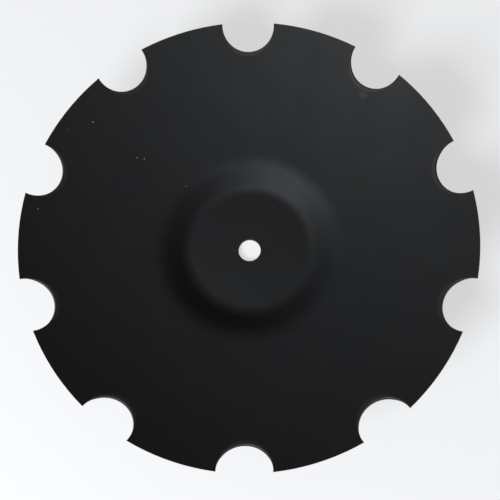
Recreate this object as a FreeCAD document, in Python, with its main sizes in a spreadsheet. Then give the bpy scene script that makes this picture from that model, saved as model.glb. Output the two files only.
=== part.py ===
"""Harrow disc blade: one round steel plate, pressed into a dish, with a flat crimped centre and ten notches.

Units are millimetres. The frame stands on the underside of the flat centre: Z is the disc's axis and points
out of the hollow side, the origin is where that axis meets the underside, and one notch is on +Y.
"""
import FreeCAD, Part
import os
from math import asin, cos, isclose, pi, radians, sin, sqrt, tan

import Sketcher

NODE = "disc_blade"

# The driving dimensions. The radius of a bend is the one on the inside of that bend.
DIMENSIONS = {
    "disc_diameter": 610.0,         # over the cutting edge
    "sheet_thickness": 6.0,
    "dish_radius": 600.0,           # of the sphere that the hollow face follows outside the crimp
    "flat_diameter": 165.0,         # of the flat centre, up to the bend at the foot of the crimp
    "crimp_width": 51.5,            # across the crimp, from the flat to where the dish starts
    "crimp_angle": 38.0,            # slope of the crimp's straight flank, in degrees
    "foot_bend_radius": 24.0,       # bend from the flat into the flank, on the hollow side
    "crest_bend_radius": 44.0,      # bend from the flank into the dish, on the back
    "bore_diameter": 31.75,         # round hole for the gang bolt
    "notch_count": 10.0,
    "notch_radius": 36.0,           # of the round punch
    "notch_centre_inset": 4.0,      # from the cutting edge in to the centre of the punch
    "bevel_width": 18.0,            # of the cutting bevel, ground on the back of the rim
    "edge_land": 1.5,               # thickness left at the cutting edge
    "edge_break": 0.5,              # chamfer on the punched edges
}

# Sketch geometry of the section, in the order in which it is added.
CURVES = ("axis", "flat", "foot", "flank", "crest", "dish", "land", "bevel",
          "dish_back", "crest_back", "flank_back", "foot_back", "underside")
CURVE = {name: index for index, name in enumerate(CURVES)}

# Sketcher's numbers for the points of a curve, for a sketch's origin and for its upright axis.
START, END, CENTRE = range(1, 4)
ORIGIN, VERTICAL_AXIS = range(-1, -3, -1)


def make_sheet(doc):
    """Put the driving dimensions in a spreadsheet, one aliased cell each."""
    sheet = doc.addObject("Spreadsheet::Sheet", "sizes")
    for row, (name, value) in enumerate(DIMENSIONS.items(), start=1):
        sheet.set("A%d" % row, name)
        sheet.set("B%d" % row, str(value))
        sheet.setAlias("B%d" % row, name)
    doc.recompute()
    return sheet


def origin_feature(body, role):
    """Return one of the body's own origin planes or axes."""
    return [feature for feature in body.Origin.OriginFeatures if feature.Role == role][0]


def new_sketch(body, name, plane):
    """Add a sketch to the body, laid on one of its origin planes."""
    sketch = body.newObject("Sketcher::SketchObject", name)
    sketch.AttachmentSupport = [(origin_feature(body, plane), "")]
    sketch.MapMode = "FlatFace"
    return sketch


def bind(sketch, name, expression, *constraint):
    """Add a named dimension to the sketch, at the value that the expression has, and bind it to that."""
    value = FreeCAD.Units.Quantity(sketch.evalExpression(expression))
    in_sketch_units = radians(value.Value) if constraint[0] == "Angle" else value.Value
    index = sketch.addConstraint(Sketcher.Constraint(*constraint, in_sketch_units))
    sketch.renameConstraint(index, name)
    sketch.setExpression("Constraints." + name, expression)


def section_curves(sheet):
    """Lay out the disc's section from the sizes: radius across, height up, once round from the axis."""
    wall = sheet.sheet_thickness
    slope = radians(sheet.crimp_angle)
    foot = sheet.foot_bend_radius
    crest_back = sheet.crest_bend_radius
    crest = crest_back + wall
    sphere = sheet.dish_radius
    flat = sheet.flat_diameter / 2
    rim = sheet.disc_diameter / 2
    bevel = rim - sheet.bevel_width
    start = asin((flat + sheet.crimp_width) / sphere)       # slope of the dish where it starts

    foot_end = flat + foot * sin(slope)
    crest_start = sphere * sin(start) + crest * (sin(start) - sin(slope))
    rise = foot * (1 - cos(slope)) + (crest_start - foot_end) * tan(slope)
    crest_height = wall + rise - crest * cos(slope)
    dish_height = crest_height + (crest + sphere) * cos(start)
    foot_centre = FreeCAD.Vector(flat, wall + foot)
    crest_centre = FreeCAD.Vector((sphere + crest) * sin(start), crest_height)
    dish_centre = FreeCAD.Vector(0, dish_height)
    rim_height = dish_height - sqrt(sphere ** 2 - rim ** 2)
    bevel_height = dish_height - sqrt((sphere + wall) ** 2 - bevel ** 2)

    def line(*ends):
        first, last = [FreeCAD.Vector(*end) for end in ends]
        return Part.LineSegment(first, last)

    def arc(centre, radius, first, last):
        circle = Part.Circle(centre, FreeCAD.Vector(0, 0, 1), radius)
        return Part.ArcOfCircle(circle, first, last)

    def point(centre, radius, angle):
        return (centre.x + radius * cos(angle), centre.y + radius * sin(angle))

    down, up = -pi / 2, pi / 2
    return {
        "axis": line((0, 0), (0, wall)),
        "flat": line((0, wall), (flat, wall)),
        "foot": arc(foot_centre, foot, down, down + slope),
        "flank": line(point(foot_centre, foot, down + slope), point(crest_centre, crest, up + slope)),
        "crest": arc(crest_centre, crest, up + start, up + slope),
        "dish": arc(dish_centre, sphere, down + start, down + asin(rim / sphere)),
        "land": line((rim, rim_height), (rim, rim_height - sheet.edge_land)),
        "bevel": line((rim, rim_height - sheet.edge_land), (bevel, bevel_height)),
        "dish_back": arc(dish_centre, sphere + wall, down + start, down + asin(bevel / (sphere + wall))),
        "crest_back": arc(crest_centre, crest_back, up + start, up + slope),
        "flank_back": line(point(foot_centre, foot + wall, down + slope),
                           point(crest_centre, crest_back, up + slope)),
        "foot_back": arc(foot_centre, foot + wall, down, down + slope),
        "underside": line((0, 0), (flat, 0)),
    }


def make_section(body, sheet):
    """Draw the section: one sheet of even wall from the axis to the rim, ground to an edge on its back."""
    sketch = new_sketch(body, "section", "XZ_Plane")
    curves = section_curves(sheet)
    sketch.addGeometry([curves[name] for name in CURVES], False)

    def tie(kind, *references):
        numbers = [CURVE.get(reference, reference) for reference in references]
        sketch.addConstraint(Sketcher.Constraint(kind, *numbers))

    # The wall starts at the axis, between the seat in the hollow and the underside.
    tie("Coincident", "axis", START, ORIGIN, START)
    tie("Coincident", "underside", START, ORIGIN, START)
    tie("Coincident", "axis", END, "flat", START)
    tie("Vertical", "axis")
    tie("Horizontal", "flat")
    tie("Horizontal", "underside")

    # Flat, foot, flank, crest and dish run into each other smoothly, on both faces.
    for face in ("", "_back"):
        flat = "underside" if face else "flat"
        tie("Tangent", flat, END, "foot" + face, START)
        tie("Tangent", "foot" + face, END, "flank" + face, START)
        tie("Tangent", "flank" + face, END, "crest" + face, END)
        tie("Tangent", "crest" + face, START, "dish" + face, START)

    # The back keeps the same distance all the way: same centres, and parallel flanks.
    tie("Coincident", "foot", CENTRE, "foot_back", CENTRE)
    tie("Coincident", "crest", CENTRE, "crest_back", CENTRE)
    tie("Coincident", "dish", CENTRE, "dish_back", CENTRE)
    tie("Parallel", "flank", "flank_back")
    tie("PointOnObject", "dish", CENTRE, VERTICAL_AXIS)

    # The rim: a narrow upright land, then the bevel back to the full sheet.
    tie("Coincident", "dish", END, "land", START)
    tie("Coincident", "land", END, "bevel", START)
    tie("Coincident", "bevel", END, "dish_back", END)
    tie("Vertical", "land")

    dish, land, bevel = CURVE["dish"], CURVE["land"], CURVE["bevel"]
    bind(sketch, "wall", "sizes.sheet_thickness", "DistanceY", CURVE["axis"], START, CURVE["axis"], END)
    bind(sketch, "flat_radius", "sizes.flat_diameter / 2", "DistanceX", ORIGIN, START, CURVE["flat"], END)
    bind(sketch, "crimp_width", "sizes.crimp_width", "DistanceX", CURVE["flat"], END, dish, START)
    bind(sketch, "slope", "sizes.crimp_angle * 1 deg", "Angle", CURVE["flank"])
    bind(sketch, "foot_radius", "sizes.foot_bend_radius", "Radius", CURVE["foot"])
    bind(sketch, "crest_radius", "sizes.crest_bend_radius", "Radius", CURVE["crest_back"])
    bind(sketch, "dish_radius", "sizes.dish_radius", "Radius", dish)
    bind(sketch, "rim_radius", "sizes.disc_diameter / 2", "DistanceX", ORIGIN, START, dish, END)
    bind(sketch, "edge_land", "sizes.edge_land", "DistanceY", land, END, land, START)
    bind(sketch, "bevel_width", "sizes.bevel_width", "DistanceX", bevel, END, bevel, START)

    # How high the dish's centre comes out is only measured: the notches are set out from it.
    height = curves["dish"].Center.y
    index = sketch.addConstraint(Sketcher.Constraint("DistanceY", ORIGIN, START, dish, CENTRE, height))
    sketch.renameConstraint(index, "dish_height")
    sketch.setDriving(index, False)
    return sketch


def revolve_section(body, section):
    """Turn the section once round the disc's axis."""
    plate = body.newObject("PartDesign::Revolution", "plate")
    plate.Profile = section
    plate.ReferenceAxis = (section, ["V_Axis"])
    plate.Angle = 360
    return plate


def draw_circle(sketch, radius, name, expression):
    """Draw a circle round the sketch's origin, its seam on the sketch's Y axis, and bind its radius."""
    circle = Part.Circle(FreeCAD.Vector(0, 0), FreeCAD.Vector(0, 0, 1), radius)
    circle.AngleXU = pi / 2
    sketch.addGeometry(circle, False)
    sketch.addConstraint(Sketcher.Constraint("Coincident", 0, CENTRE, ORIGIN, START))
    bind(sketch, name, expression, "Radius", 0)


def pierce_bore(body, sheet):
    """Pierce the round hole through the middle of the flat centre."""
    sketch = new_sketch(body, "bore_outline", "XY_Plane")
    draw_circle(sketch, sheet.bore_diameter / 2, "bore_radius", "sizes.bore_diameter / 2")
    bore = body.newObject("PartDesign::Pocket", "bore")
    bore.Profile = sketch
    bore.SideType = "Symmetric"
    bore.Type = "ThroughAll"
    return bore


def punch_notches(body, doc, sheet):
    """Punch one notch square to the dish near the rim at +Y, and repeat it round the disc's axis."""
    sketch = new_sketch(body, "notch_outline", "XY_Plane")
    reach = "(sizes.disc_diameter / 2 - sizes.notch_centre_inset)"
    tilt = FreeCAD.Rotation(FreeCAD.Vector(1, 0, 0), 1)     # about X: the expression sets its angle
    sketch.AttachmentOffset = FreeCAD.Placement(FreeCAD.Vector(0, 0, 0), tilt)
    sketch.setExpression("AttachmentOffset.Base.y", reach + " * 1 mm")
    sketch.setExpression(
        "AttachmentOffset.Base.z",
        "section.Constraints.dish_height - sqrt(sizes.dish_radius ^ 2 - %s ^ 2) * 1 mm" % reach)
    sketch.setExpression("AttachmentOffset.Rotation.Angle", "asin(%s / sizes.dish_radius)" % reach)
    draw_circle(sketch, sheet.notch_radius, "punch_radius", "sizes.notch_radius")

    notch = body.newObject("PartDesign::Pocket", "notch")
    notch.Profile = sketch
    notch.SideType = "Symmetric"
    notch.Type = "Length"
    notch.setExpression("Length", "(4 * sizes.sheet_thickness + sizes.notch_radius) * 1 mm")
    doc.recompute()

    notches = body.newObject("PartDesign::PolarPattern", "notches")
    notches.Originals = [notch]
    notches.Axis = (origin_feature(body, "Z_Axis"), [""])
    notches.Angle = 360
    notches.setExpression("Occurrences", "sizes.notch_count")
    body.Tip = notches
    return notches


def punched_edges(shape, radii):
    """Name the edges where a punched wall of one of these radii meets a face of the sheet or the bevel."""
    names = []
    for number, edge in enumerate(shape.Edges, start=1):
        surfaces = [face.Surface for face in shape.ancestorsOfType(edge, Part.Face)]
        walls = [surface.Radius for surface in surfaces if isinstance(surface, Part.Cylinder)]
        if len(surfaces) == 2 and len(walls) == 1 and any(isclose(walls[0], radius) for radius in radii):
            names.append("Edge%d" % number)
    return names


def break_edges(body, sheet):
    """Chamfer the edges of the bore and of the notches, by less than the narrow land can take twice over."""
    punched = body.Tip
    radii = (sheet.bore_diameter / 2, sheet.notch_radius)
    chamfer = body.newObject("PartDesign::Chamfer", "broken_edges")
    chamfer.Base = (punched, punched_edges(punched.Shape, radii))
    chamfer.setExpression("Size", "min(sizes.edge_break; 0.4 * sizes.edge_land) * 1 mm")
    body.Tip = chamfer
    return chamfer


def check(doc):
    """Stop if any object of the document has failed, or a body has no sound solid."""
    for item in doc.Objects:
        if "Invalid" in item.State or "Error" in item.State:
            raise RuntimeError("%s failed: %s" % (item.Name, item.State))
    for body in doc.findObjects("PartDesign::Body"):
        if body.Shape.isNull() or not body.Shape.isValid() or len(body.Shape.Solids) != 1:
            raise RuntimeError("%s is not one sound solid" % body.Label)


def main():
    doc = FreeCAD.newDocument("harrow_disc")
    sheet = make_sheet(doc)
    body = doc.addObject("PartDesign::Body", "disc")
    body.Label = NODE
    section = make_section(body, sheet)
    revolve_section(body, section)
    doc.recompute()
    pierce_bore(body, sheet)
    doc.recompute()
    punch_notches(body, doc, sheet)
    doc.recompute()
    break_edges(body, sheet)
    doc.recompute()
    check(doc)

    os.makedirs("parts", exist_ok=True)
    body.Shape.exportStep(os.path.join("parts", body.Label + ".step"))
    box = body.Shape.optimalBoundingBox(False)
    print("%s: %.1f x %.1f x %.1f mm, %.0f mm3" % (body.Label, box.XLength, box.YLength, box.ZLength,
                                                   body.Shape.Volume))


main()
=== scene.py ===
import math

import bpy
from mathutils import Matrix, Vector


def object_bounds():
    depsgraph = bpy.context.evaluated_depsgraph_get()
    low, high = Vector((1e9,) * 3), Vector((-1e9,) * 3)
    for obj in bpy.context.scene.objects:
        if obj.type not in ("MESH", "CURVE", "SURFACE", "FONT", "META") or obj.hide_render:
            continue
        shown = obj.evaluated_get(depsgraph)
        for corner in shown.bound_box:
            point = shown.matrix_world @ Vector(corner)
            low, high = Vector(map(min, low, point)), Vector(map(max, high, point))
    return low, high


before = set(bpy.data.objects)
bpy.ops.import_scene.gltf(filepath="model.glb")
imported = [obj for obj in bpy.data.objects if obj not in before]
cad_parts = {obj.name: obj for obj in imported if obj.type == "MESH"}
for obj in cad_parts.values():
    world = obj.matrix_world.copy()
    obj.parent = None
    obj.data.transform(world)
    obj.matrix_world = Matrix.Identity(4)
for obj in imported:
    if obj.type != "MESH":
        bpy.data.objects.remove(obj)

CAD_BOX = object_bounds()
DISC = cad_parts["disc_blade"]

# Lengths are in metres, angles in degrees and colours linear.

# Camera: above the hollow side, leaning a little off the disc's axis.
CAMERA_PLACE = Vector((0.0549, -0.2546, 1.1628))
CAMERA_AZIMUTH = 12.02
CAMERA_TILT = 12.69         # off the disc's axis
CAMERA_ROLL = -11.89        # brings the notch on +Y to the top of the frame
CAMERA_LENS = 59.6          # millimetres, as is the sensor
CAMERA_SENSOR = 36.0

# Studio: a large cool softbox on the front left, and a dim even dome.
KEY_AZIMUTH = 232.0         # counted from +X towards +Y
KEY_ZENITH = 52.0           # down from straight overhead
KEY_DISTANCE = 3.5
KEY_SIZE = 1.6
KEY_POWER = 115.0
KEY_COLOUR = (0.94, 0.99, 1.07)
DOME_STRENGTH = 0.155
WHITE = (1.0, 1.0, 1.0, 1.0)
FLOOR_ALBEDO = 0.8          # as the disc sees it
FLOOR_SEEN_ALBEDO = 0.42    # as the camera sees it, under FLOOR_LIFT
FLOOR_LIFT = 0.61
FLOOR_HALF_SIDE = 20.0
FLOOR_ROUGHNESS = 0.9
FLOOR_SPECULAR = 0.1

# The disc's own sizes: they place the wear along its edges.
RIM_RADIUS = CAD_BOX[1][0]
BORE_RADIUS = 0.015875
NOTCH_COUNT = 10
NOTCH_RADIUS = 0.036
NOTCH_REACH = 0.301         # from the axis to the centre of a notch
BEVEL_WIDTH = 0.018

# Paint colours, and how much of each shows over the black.
COOL_BLACK = (0.0056, 0.0059, 0.0062, 1.0)
WARM_BLACK = (0.0068, 0.0065, 0.0056, 1.0)
GRAIN_COLOUR, GRAIN_SHARE = (0.014, 0.014, 0.015, 1.0), 0.5
RUB_COLOUR, RUB_SHARE = (0.050, 0.051, 0.054, 1.0), 0.16
DUST_COLOUR, DUST_SHARE = (0.10, 0.10, 0.095, 1.0), 0.35
WORN_COLOUR, WORN_SHARE = (0.055, 0.050, 0.042, 1.0), 0.30
RUST_COLOUR, RUST_SHARE = (0.085, 0.038, 0.022, 1.0), 0.8
SCUFF_COLOUR, SCUFF_SHARE = (0.06, 0.06, 0.062, 1.0), 0.7
NIB_COLOUR = (0.34, 0.35, 0.37, 1.0)

# Noise scales, in features to the metre. Rings have one across the radius and one to the radian.
CLOUD_SCALE = 9.0
GLOSS_SCALE = 14.0
WAVE_SCALE = 16.0
DUST_SCALE = 70.0
EDGE_SCALE = 260.0
PEEL_SCALE = 520.0
GRAIN_SCALE = 900.0
RUB_RINGS = (420.0, 3.5)
GRINDING_RINGS = (2600.0, 1.5)

# Dust: a grain's core and edge, as shares of a cell, and the share of cells left without one.
DUST_CORE, DUST_EDGE = 0.02, 0.05
DUST_FREE = 0.86

# Worn edges: how far the thin paint reaches, and how ragged its limit is.
WORN_FULL, WORN_NONE = -0.0012, 0.0001
WORN_RAGGEDNESS = -0.0022

# Gloss, as roughness, and what is added to it.
SHINIEST, DULLEST = 0.59, 0.66
PATCH_DULLING = 0.10
GRAIN_DULLING = 0.04
WORN_DULLING = -0.06
PAINT_SPECULAR = 0.42

# Heights of the relief.
WAVE_HEIGHT = 0.0011
PEEL_HEIGHT = 0.000010
GRINDING_HEIGHT = 0.00005

# Small marks on the hollow face: x, y, z and radius, full in the core and gone at the radius.
MARK_CORE = 0.35
PALE_NIBS = {
    "nib_near_left_notch": (-0.2163, 0.1664, 0.0843, 0.0012),
    "nib_pair_outer": (-0.1584, 0.1244, 0.0535, 0.0010),
    "nib_pair_inner": (-0.1485, 0.1232, 0.0505, 0.0011),
    "nib_on_crest": (-0.0905, 0.0886, 0.0315, 0.0008),
    "nib_by_the_rim": (-0.2839, 0.0391, 0.0915, 0.0011),
}
RUST_NIB = (-0.2495, 0.1525, 0.0947, 0.0016)
SCUFF = (0.1599, 0.2049, 0.0778, 0.008)
DULL_PATCH = (0.2850, -0.0050, 0.0890, 0.060)


class Graph:
    """Short calls for building the nodes of one material."""

    def __init__(self, tree):
        self.nodes = tree.nodes
        self.links = tree.links

    def put(self, kind, label, **settings):
        node = self.nodes.new(kind)
        node.label = label
        for name, value in settings.items():
            setattr(node, name, value)
        return node

    def join(self, source, target):
        self.links.new(source, target)

    def feed(self, socket, value):
        """Set a socket to a plain value, or link it to another node's output."""
        if isinstance(value, (int, float, tuple)):
            socket.default_value = value
        else:
            self.join(value, socket)

    def math(self, operation, first, second=0.0, label=""):
        node = self.put("ShaderNodeMath", label or operation.lower(), operation=operation)
        self.feed(node.inputs[0], first)
        self.feed(node.inputs[1], second)
        return node.outputs[0]

    def ramp(self, value, low, high, bottom=0.0, top=1.0, label="ramp"):
        node = self.put("ShaderNodeMapRange", label)
        node.inputs["From Min"].default_value = low
        node.inputs["From Max"].default_value = high
        node.inputs["To Min"].default_value = bottom
        node.inputs["To Max"].default_value = top
        self.join(value, node.inputs["Value"])
        return node.outputs["Result"]

    def noise(self, vector, scale, detail, label, roughness=0.5):
        node = self.put("ShaderNodeTexNoise", label)
        node.inputs["Scale"].default_value = scale
        node.inputs["Detail"].default_value = detail
        node.inputs["Roughness"].default_value = roughness
        self.join(vector, node.inputs["Vector"])
        return node.outputs["Fac"]

    def split(self, vector, label):
        node = self.put("ShaderNodeSeparateXYZ", label)
        self.join(vector, node.inputs[0])
        return node.outputs

    def mix(self, factor, first, second, label):
        node = self.put("ShaderNodeMix", label, data_type="RGBA")
        self.feed(node.inputs[0], factor)
        self.feed(node.inputs[6], first)
        self.feed(node.inputs[7], second)
        return node.outputs[2]

    def near(self, vector, mark, label):
        """Return 1 in the core of a mark, falling to 0 at its radius."""
        node = self.put("ShaderNodeVectorMath", label, operation="DISTANCE")
        self.join(vector, node.inputs[0])
        node.inputs[1].default_value = mark[:3]
        return self.ramp(node.outputs["Value"], mark[3] * MARK_CORE, mark[3], 1.0, 0.0, label)

    def rings(self, radius, angle, spacing, detail, label, roughness=0.5):
        """Return noise drawn out round the disc's axis."""
        polar = self.put("ShaderNodeCombineXYZ", label)
        self.join(self.math("MULTIPLY", radius, spacing[0]), polar.inputs["X"])
        self.join(self.math("MULTIPLY", angle, spacing[1]), polar.inputs["Y"])
        return self.noise(polar.outputs[0], 1.0, detail, label, roughness)


def polar_place(graph, place):
    """Return a point's distance from the axis, and its angle round it."""
    across = graph.split(place, "across")
    x, y = across["X"], across["Y"]
    squares = graph.math("ADD", graph.math("MULTIPLY", x, x), graph.math("MULTIPLY", y, y))
    return graph.math("SQRT", squares, label="radius"), graph.math("ARCTAN2", y, x, "angle")


def edge_distance(graph, radius, angle):
    """Return how far a point is from the nearest of the rim, the notches and the bore."""
    pitch = 2 * math.pi / NOTCH_COUNT
    from_notch = graph.math("SUBTRACT", angle, math.pi / 2)
    folded = graph.math("PINGPONG", graph.math("ABSOLUTE", from_notch), pitch / 2, "angle off a notch")
    along = graph.math("MULTIPLY", radius, graph.math("COSINE", folded))
    across = graph.math("MULTIPLY", radius, graph.math("SINE", folded))
    inward = graph.math("SUBTRACT", along, NOTCH_REACH)
    squares = graph.math("ADD", graph.math("MULTIPLY", inward, inward),
                         graph.math("MULTIPLY", across, across))
    to_notch = graph.math("SUBTRACT", graph.math("SQRT", squares), NOTCH_RADIUS)
    to_rim = graph.math("SUBTRACT", RIM_RADIUS, radius)
    to_bore = graph.math("SUBTRACT", radius, BORE_RADIUS)
    return graph.math("MINIMUM", graph.math("MINIMUM", to_notch, to_rim), to_bore, "edge distance")


def dust_grains(graph, place):
    """Return a mask of single grains of dust, settled in a few cells."""
    cells = graph.put("ShaderNodeTexVoronoi", "dust")
    cells.inputs["Scale"].default_value = DUST_SCALE
    graph.join(place, cells.inputs["Vector"])
    dots = graph.ramp(cells.outputs["Distance"], DUST_CORE, DUST_EDGE, 1.0, 0.0)
    chance = graph.put("ShaderNodeSeparateColor", "which cells")
    graph.join(cells.outputs["Color"], chance.inputs[0])
    return graph.math("MULTIPLY", dots, graph.math("GREATER_THAN", chance.outputs[0], DUST_FREE))


def paint_colour(graph, place, radius, angle, grain, worn, break_up):
    """Mix the black, from its clouds up to the few marks that stand alone."""
    clouds = graph.noise(place, CLOUD_SCALE, 3.0, "clouds")
    colour = graph.mix(graph.ramp(clouds, 0.38, 0.62), WARM_BLACK, COOL_BLACK, "warm or cool")
    colour = graph.mix(graph.ramp(grain, 0.45, 0.75, 0.0, GRAIN_SHARE), colour, GRAIN_COLOUR, "grain")

    # Nested blades rub each other round the axis.
    rubs = graph.ramp(graph.rings(radius, angle, RUB_RINGS, 3.0, "rub marks", 0.6), 0.66, 0.80)
    colour = graph.mix(graph.math("MULTIPLY", rubs, RUB_SHARE), colour, RUB_COLOUR, "rubbed")
    dust = dust_grains(graph, place)
    colour = graph.mix(graph.math("MULTIPLY", dust, DUST_SHARE), colour, DUST_COLOUR, "dusty")
    colour = graph.mix(graph.math("MULTIPLY", worn, WORN_SHARE), colour, WORN_COLOUR, "thin paint")

    for name, mark in PALE_NIBS.items():
        colour = graph.mix(graph.near(place, mark, name), colour, NIB_COLOUR, name)
    rust = graph.near(place, RUST_NIB, "rust nib")
    colour = graph.mix(graph.math("MULTIPLY", rust, RUST_SHARE), colour, RUST_COLOUR, "rust nib")
    scuff = graph.math("MULTIPLY", graph.near(place, SCUFF, "scuff"), break_up)
    return graph.mix(graph.math("MULTIPLY", scuff, SCUFF_SHARE), colour, SCUFF_COLOUR, "scuff")


def paint_roughness(graph, place, grain, worn):
    """Satin, duller in clouds and in one patch by the rim."""
    clouds = graph.noise(place, GLOSS_SCALE, 4.0, "gloss clouds")
    rough = graph.ramp(clouds, 0.3, 0.7, SHINIEST, DULLEST)
    patch = graph.near(place, DULL_PATCH, "dull patch")
    rough = graph.math("ADD", rough, graph.math("MULTIPLY", patch, PATCH_DULLING))
    rough = graph.math("ADD", rough, graph.math("MULTIPLY", grain, GRAIN_DULLING))
    return graph.math("ADD", rough, graph.math("MULTIPLY", worn, WORN_DULLING))


def paint_relief(graph, place, radius, angle):
    """Slow waves from the press, a fine peel in the paint, and ground rings on the bevel at the back."""
    waves = graph.noise(place, WAVE_SCALE, 1.5, "press waves")
    peel = graph.noise(place, PEEL_SCALE, 2.0, "paint peel")
    grinding = graph.rings(radius, angle, GRINDING_RINGS, 2.0, "grinding rings")
    surface = graph.put("ShaderNodeNewGeometry", "surface")
    back = graph.math("LESS_THAN", graph.split(surface.outputs["True Normal"], "which side")["Z"], 0.0)
    bevel = graph.math("MULTIPLY", back, graph.math("GREATER_THAN", radius, RIM_RADIUS - BEVEL_WIDTH))
    ground = graph.math("MULTIPLY", grinding, bevel)
    height = graph.math("MULTIPLY", waves, WAVE_HEIGHT)
    height = graph.math("ADD", height, graph.math("MULTIPLY", peel, PEEL_HEIGHT))
    height = graph.math("ADD", height, graph.math("MULTIPLY", ground, GRINDING_HEIGHT))
    relief = graph.put("ShaderNodeBump", "relief")
    relief.inputs["Strength"].default_value = 1.0
    relief.inputs["Distance"].default_value = 1.0
    graph.join(height, relief.inputs["Height"])
    return relief.outputs["Normal"]


def make_black_paint():
    """Satin black paint over pressed steel: wavy from the press, finely grained, thin along the edges."""
    material = bpy.data.materials.new("satin_black_paint")
    material.use_nodes = True
    graph = Graph(material.node_tree)
    shader = graph.nodes["Principled BSDF"]
    place = graph.put("ShaderNodeTexCoord", "place").outputs["Object"]
    radius, angle = polar_place(graph, place)
    grain = graph.noise(place, GRAIN_SCALE, 2.0, "fine grain")

    break_up = graph.noise(place, EDGE_SCALE, 4.0, "edge break-up", 0.6)
    ragged = graph.math("ADD", edge_distance(graph, radius, angle),
                        graph.math("MULTIPLY", break_up, WORN_RAGGEDNESS))
    worn = graph.ramp(ragged, WORN_FULL, WORN_NONE, 1.0, 0.0, "worn edge")

    graph.join(paint_colour(graph, place, radius, angle, grain, worn, break_up), shader.inputs["Base Color"])
    graph.join(paint_roughness(graph, place, grain, worn), shader.inputs["Roughness"])
    graph.join(paint_relief(graph, place, radius, angle), shader.inputs["Normal"])
    shader.inputs["Specular IOR Level"].default_value = PAINT_SPECULAR
    return material


def make_floor():
    """A plain pale floor. The camera sees it lighter than the disc does, with a fainter shadow."""
    bpy.ops.object.select_all(action="DESELECT")
    bpy.ops.mesh.primitive_plane_add(size=2 * FLOOR_HALF_SIDE)
    floor = bpy.context.object
    floor.name = "floor"
    material = bpy.data.materials.new("pale_floor")
    material.use_nodes = True
    graph = Graph(material.node_tree)
    shader = graph.nodes["Principled BSDF"]
    shader.inputs["Roughness"].default_value = FLOOR_ROUGHNESS
    shader.inputs["Specular IOR Level"].default_value = FLOOR_SPECULAR
    shader.inputs["Emission Color"].default_value = WHITE
    seen = graph.put("ShaderNodeLightPath", "rays").outputs["Is Camera Ray"]
    albedo = graph.ramp(seen, 0.0, 1.0, FLOOR_ALBEDO, FLOOR_SEEN_ALBEDO, "albedo")
    graph.join(albedo, shader.inputs["Base Color"])
    graph.join(graph.math("MULTIPLY", seen, FLOOR_LIFT), shader.inputs["Emission Strength"])
    floor.data.materials.append(material)


def make_world():
    """A dim, even dome that the camera sees as white."""
    world = bpy.data.worlds.new("studio")
    bpy.context.scene.world = world
    world.use_nodes = True
    graph = Graph(world.node_tree)
    background = graph.nodes["Background"]
    background.inputs["Color"].default_value = WHITE
    seen = graph.put("ShaderNodeLightPath", "rays").outputs["Is Camera Ray"]
    graph.join(graph.ramp(seen, 0.0, 1.0, DOME_STRENGTH, 1.0, "strength"), background.inputs["Strength"])


def add_softbox(name, azimuth, zenith, distance, size, power, colour):
    """Hang a square softbox round the disc, facing it."""
    lamp = bpy.data.lights.new(name, "AREA")
    lamp.shape = "SQUARE"
    lamp.size = size
    lamp.energy = power
    lamp.color = colour
    holder = bpy.data.objects.new(name, lamp)
    bpy.context.scene.collection.objects.link(holder)
    around, down = math.radians(azimuth), math.radians(zenith)
    outward = Vector((math.cos(around) * math.sin(down), math.sin(around) * math.sin(down), math.cos(down)))
    holder.location = outward * distance
    holder.rotation_euler = outward.to_track_quat("Z", "Y").to_euler()


def make_camera():
    data = bpy.data.cameras.new("camera")
    data.sensor_width = CAMERA_SENSOR
    data.lens = CAMERA_LENS
    camera = bpy.data.objects.new("camera", data)
    bpy.context.scene.collection.objects.link(camera)
    turn = (Matrix.Rotation(math.radians(CAMERA_AZIMUTH), 4, "Z")
            @ Matrix.Rotation(math.radians(CAMERA_TILT), 4, "X")
            @ Matrix.Rotation(math.radians(CAMERA_ROLL), 4, "Z"))
    camera.matrix_world = Matrix.Translation(CAMERA_PLACE) @ turn
    bpy.context.scene.camera = camera


bpy.context.scene.view_settings.view_transform = "Standard"
DISC.data.materials.clear()
DISC.data.materials.append(make_black_paint())
make_floor()
make_world()
add_softbox("key", KEY_AZIMUTH, KEY_ZENITH, KEY_DISTANCE, KEY_SIZE, KEY_POWER, KEY_COLOUR)
make_camera()
